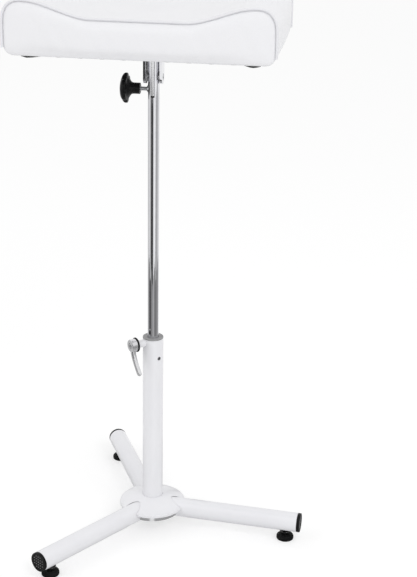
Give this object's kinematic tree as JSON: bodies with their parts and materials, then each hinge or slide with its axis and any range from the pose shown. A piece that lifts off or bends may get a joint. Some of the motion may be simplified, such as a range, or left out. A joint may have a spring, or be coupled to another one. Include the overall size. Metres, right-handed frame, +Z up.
{
  "type": "pedicure footrest",
  "caption": "Saddle-shaped padded leg rest on a chrome telescopic pole with tilt lock, height clamp lever, white column and low tripod base with levelling feet.",
  "frame": {"origin": "on the floor, under the middle of the whole object's box", "axes": "+Z up, along the column; +X along the cushion's width, to the right of someone who faces its front panel with the tilt knob on the left; +Y along the cushion's depth, away from that person"},
  "size_m": [0.4077, 0.4072, 0.8055],
  "materials": {
    "white_paint": "gloss",
    "chrome": "polished",
    "zinc": "satin",
    "black_plastic": "satin",
    "black_steel": "satin",
    "black_rubber": "matte",
    "grey_nylon": "satin",
    "lever_metal": "satin",
    "brass": "satin",
    "padded_vinyl": "satin",
    "white_vinyl": "satin",
    "black_cloth": "matte",
    "plywood": "matte"
  },
  "bodies": {
    "stand": {"hub_cap": "white_paint", "hub_core": "zinc", "base_washer": "zinc", "base_bolt": "zinc", "leg_1": "white_paint", "leg_2": "white_paint", "leg_3": "white_paint", "leg_cap_1": "black_plastic", "leg_cap_2": "black_plastic", "leg_cap_3": "black_plastic", "foot_nut_1": "zinc", "foot_nut_2": "zinc", "foot_nut_3": "zinc", "column": "white_paint", "column_plug": "zinc", "top_bush": "grey_nylon", "bush_screw": "black_plastic", "lever_boss": "white_paint"},
    "clamp_pad": {"clamp_pad": "brass"},
    "lever": {"lever": "lever_metal", "lever_ring": "black_plastic", "lever_screw": "zinc", "lever_stud": "zinc"},
    "glide": {"lower_glide": "grey_nylon"},
    "pole": {"pole": "chrome", "pole_plug": "black_plastic", "glide_clip": "zinc", "knob_insert": "zinc"},
    "knob_tip": {"knob_tip": "brass"},
    "knob": {"star_knob": "black_plastic", "knob_stud": "zinc"},
    "rest": {"fork": "chrome", "tongue": "zinc", "pivot_pin": "zinc", "spacer_left": "grey_nylon", "spacer_right": "grey_nylon", "mounting_plate": "zinc", "wood_screw_1": "zinc", "wood_screw_2": "zinc", "wood_screw_3": "zinc", "wood_screw_4": "zinc", "board": "plywood", "dust_cover": "black_cloth", "cushion": "padded_vinyl", "front_welt": "white_vinyl", "rear_welt": "white_vinyl"},
    "foot_1_pad": {"foot_pad_1": "black_rubber"},
    "foot_1_stud": {"foot_stud_1": "black_steel"},
    "foot_2_pad": {"foot_pad_2": "black_rubber"},
    "foot_2_stud": {"foot_stud_2": "black_steel"},
    "foot_3_pad": {"foot_pad_3": "black_rubber"},
    "foot_3_stud": {"foot_stud_3": "black_steel"}
  },
  "joints": [
    {"name": "height_slide", "type": "slide", "parent": "stand", "child": "glide", "axis": [0, 0, 1], "range_m": [-0.214, 0]},
    {"name": "pole_swivel", "type": "hinge", "parent": "glide", "child": "pole", "pos_m": [-0.02494, -0.00888, 0.2989], "axis": [0, 0, 1], "continuous": true},
    {"name": "cushion_tilt", "type": "hinge", "parent": "pole", "child": "rest", "pos_m": [-0.02494, -0.00888, 0.6875], "axis": [1, 0, 0], "range_deg": [-22, 22]},
    {"name": "clamp_feed", "type": "slide", "parent": "stand", "child": "clamp_pad", "axis": [-0.766, -0.6428, 0], "range_m": [0, 0.00152]},
    {"name": "lever_turn", "type": "hinge", "parent": "clamp_pad", "child": "lever", "pos_m": [-0.02494, -0.00888, 0.2989], "axis": [-0.766, -0.6428, 0], "range_deg": [0, 540]},
    {"name": "knob_feed", "type": "slide", "parent": "pole", "child": "knob_tip", "axis": [-1, 0, 0], "range_m": [0, 0.00152]},
    {"name": "knob_turn", "type": "hinge", "parent": "knob_tip", "child": "knob", "pos_m": [-0.02494, -0.00888, 0.67], "axis": [-1, 0, 0], "range_deg": [0, 540]},
    {"name": "foot_1_feed", "type": "slide", "parent": "stand", "child": "foot_1_pad", "axis": [0, 0, 1], "range_m": [-0.00802, 0]},
    {"name": "foot_1_turn", "type": "hinge", "parent": "foot_1_pad", "child": "foot_1_stud", "pos_m": [0.18028, -0.02684, 0], "axis": [0, 0, 1], "range_deg": [-2304, 0]},
    {"name": "foot_2_feed", "type": "slide", "parent": "stand", "child": "foot_2_pad", "axis": [0, 0, 1], "range_m": [-0.00802, 0]},
    {"name": "foot_2_turn", "type": "hinge", "parent": "foot_2_pad", "child": "foot_2_stud", "pos_m": [-0.112, 0.17782, 0], "axis": [0, 0, 1], "range_deg": [-2304, 0]},
    {"name": "foot_3_feed", "type": "slide", "parent": "stand", "child": "foot_3_pad", "axis": [0, 0, 1], "range_m": [-0.00802, 0]},
    {"name": "foot_3_turn", "type": "hinge", "parent": "foot_3_pad", "child": "foot_3_stud", "pos_m": [-0.14309, -0.17763, 0], "axis": [0, 0, 1], "range_deg": [-2304, 0]}
  ],
  "couplings": [
    {"joint": "clamp_feed", "follows": "lever_turn", "m_per_rad": 0.00015915},
    {"joint": "knob_feed", "follows": "knob_turn", "m_per_rad": 0.00015915},
    {"joint": "foot_1_feed", "follows": "foot_1_turn", "m_per_rad": 0.00019894},
    {"joint": "foot_2_feed", "follows": "foot_2_turn", "m_per_rad": 0.00019894},
    {"joint": "foot_3_feed", "follows": "foot_3_turn", "m_per_rad": 0.00019894}
  ]
}
